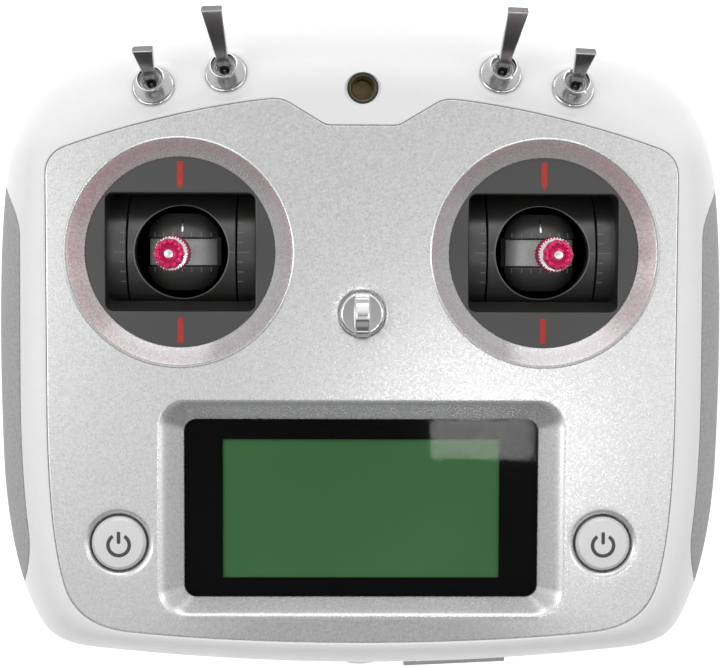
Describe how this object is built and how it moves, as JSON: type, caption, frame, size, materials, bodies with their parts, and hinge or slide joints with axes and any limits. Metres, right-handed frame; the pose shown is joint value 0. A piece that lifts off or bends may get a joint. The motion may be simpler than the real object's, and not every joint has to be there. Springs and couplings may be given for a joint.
{
  "type": "radio transmitter controller",
  "caption": "Hand-held two-stick radio control transmitter with toggle switches, a screen, power buttons, rear grips, dials, keys and a battery bay.",
  "frame": {"origin": "on the resting surface below the middle of the whole part's outline", "axes": "+X to the holder's right, +Y towards the top edge with the switches, +Z out of the face"},
  "size_m": [0.1778, 0.1615, 0.0808],
  "materials": {
    "white_shell": "glossy white moulded plastic",
    "silver_paint": "fine sparkling silver paint on plastic",
    "button_silver": "satin light silver plastic",
    "grey_rubber": "matte rubber with a fine grain",
    "gimbal_grey": "matte dark grey moulded plastic",
    "black_plastic": "matte black plastic",
    "chrome": "polished chrome plate",
    "magenta_anodised": "machined and anodised crimson",
    "steel": "bright turned steel",
    "brass": "dark brass, threaded",
    "circuit_board": "green solder mask",
    "lcd_green": "unlit green liquid crystal panel",
    "screen_glass": "clear cover with a black printed border",
    "cell_sleeve": "plain blue sleeve, no lettering"
  },
  "bodies": {
    "housing": {"front_shell": "white_shell", "rear_shell": "white_shell", "faceplate": "silver_paint", "screen_lens": "screen_glass", "lcd_module": "lcd_green", "strap_eyelet": "chrome", "phone_mount_insert": "brass", "main_board": "circuit_board", "port_board": "circuit_board", "speaker": "black_plastic", "contact_strip_lower": "steel", "contact_strip_upper": "steel", "battery_cell_1": "cell_sleeve", "battery_cell_2": "cell_sleeve", "battery_cell_3": "cell_sleeve", "battery_cell_4": "cell_sleeve", "grip_left": "grey_rubber", "antenna_left": "circuit_board", "screw_upper_left": "steel", "screw_lower_left": "steel", "gimbal_bezel_left": "gimbal_grey", "gimbal_cage_left": "black_plastic", "gimbal_sensor_left": "black_plastic", "grip_right": "grey_rubber", "antenna_right": "circuit_board", "screw_upper_right": "steel", "screw_lower_right": "steel", "gimbal_bezel_right": "gimbal_grey", "gimbal_cage_right": "black_plastic", "gimbal_sensor_right": "black_plastic", "switch_nut_a": "chrome", "switch_body_a": "steel", "switch_nut_b": "chrome", "switch_body_b": "steel", "switch_nut_c": "chrome", "switch_body_c": "steel", "switch_nut_d": "chrome", "switch_body_d": "steel"},
    "drum_left": {"gimbal_drum_left": "gimbal_grey"},
    "stick_left": {"stick_slider_left": "gimbal_grey", "stick_shaft_left": "steel", "stick_locknut_left": "magenta_anodised", "stick_knob_left": "magenta_anodised"},
    "drum_right": {"gimbal_drum_right": "gimbal_grey"},
    "stick_right": {"stick_slider_right": "gimbal_grey", "stick_shaft_right": "steel", "stick_locknut_right": "magenta_anodised", "stick_knob_right": "magenta_anodised"},
    "lever_a": {"switch_lever_a": "chrome"},
    "lever_b": {"switch_lever_b": "chrome"},
    "lever_c": {"switch_lever_c": "chrome"},
    "lever_d": {"switch_lever_d": "chrome"},
    "power_left": {"power_button_left": "button_silver"},
    "power_right": {"power_button_right": "button_silver"},
    "wheel_left": {"dial_left": "black_plastic"},
    "wheel_right": {"dial_right": "black_plastic"},
    "key_left": {"rear_key_left": "white_shell"},
    "key_right": {"rear_key_right": "white_shell"},
    "cover": {"battery_cover": "white_shell"},
    "flap": {"port_cover": "grey_rubber"}
  },
  "joints": [
    {"name": "stick_left_up_down", "type": "hinge", "parent": "housing", "child": "drum_left", "pos_m": [-0.04325, 0.0239, 0.0355], "axis": [1, 0, 0], "range_deg": [-25, 25], "stiffness_Nm_per_rad": 0.04},
    {"name": "stick_left_left_right", "type": "hinge", "parent": "drum_left", "child": "stick_left", "pos_m": [-0.04325, 0.0239, 0.0355], "axis": [0, 1, 0], "range_deg": [-25, 25], "stiffness_Nm_per_rad": 0.04},
    {"name": "stick_right_up_down", "type": "hinge", "parent": "housing", "child": "drum_right", "pos_m": [0.04325, 0.0239, 0.0355], "axis": [1, 0, 0], "range_deg": [-25, 25], "stiffness_Nm_per_rad": 0.04},
    {"name": "stick_right_left_right", "type": "hinge", "parent": "drum_right", "child": "stick_right", "pos_m": [0.04325, 0.0239, 0.0355], "axis": [0, 1, 0], "range_deg": [-25, 25], "stiffness_Nm_per_rad": 0.04},
    {"name": "switch_a", "type": "hinge", "parent": "housing", "child": "lever_a", "pos_m": [-0.04947, 0.06358, 0.0565], "axis": [0.9962, 0.0298, 0.0819], "range_deg": [0, 28]},
    {"name": "switch_b", "type": "hinge", "parent": "housing", "child": "lever_b", "pos_m": [-0.03237, 0.06678, 0.05657], "axis": [0.9962, 0.0298, 0.0819], "range_deg": [0, 28]},
    {"name": "switch_c", "type": "hinge", "parent": "housing", "child": "lever_c", "pos_m": [0.03267, 0.06678, 0.05655], "axis": [0.9962, -0.0298, -0.0819], "range_deg": [0, 28]},
    {"name": "switch_d", "type": "hinge", "parent": "housing", "child": "lever_d", "pos_m": [0.04987, 0.06358, 0.05646], "axis": [0.9962, -0.0298, -0.0819], "range_deg": [0, 28]},
    {"name": "power_left_press", "type": "slide", "parent": "housing", "child": "power_left", "axis": [0, 0, -1], "range_m": [0, 0.0008], "stiffness_N_per_m": 400},
    {"name": "power_right_press", "type": "slide", "parent": "housing", "child": "power_right", "axis": [0, 0, -1], "range_m": [0, 0.0008], "stiffness_N_per_m": 400},
    {"name": "dial_left_turn", "type": "hinge", "parent": "housing", "child": "wheel_left", "pos_m": [-0.06, 0.0568, 0.0212], "axis": [1, 0, 0], "range_deg": [-135, 135]},
    {"name": "dial_right_turn", "type": "hinge", "parent": "housing", "child": "wheel_right", "pos_m": [0.06, 0.0568, 0.0212], "axis": [1, 0, 0], "range_deg": [-135, 135]},
    {"name": "rear_key_left_press", "type": "slide", "parent": "housing", "child": "key_left", "axis": [0, 0, 1], "range_m": [0, 0.001], "stiffness_N_per_m": 400},
    {"name": "rear_key_right_press", "type": "slide", "parent": "housing", "child": "key_right", "axis": [0, 0, 1], "range_m": [0, 0.001], "stiffness_N_per_m": 400},
    {"name": "battery_cover_slide", "type": "slide", "parent": "housing", "child": "cover", "axis": [0, -1, 0], "range_m": [0, 0.075]},
    {"name": "port_cover_hinge", "type": "hinge", "parent": "housing", "child": "flap", "pos_m": [0.02383, -0.07895, 0.027], "axis": [0.999, 0.0454, 0], "range_deg": [0, 100]}
  ]
}
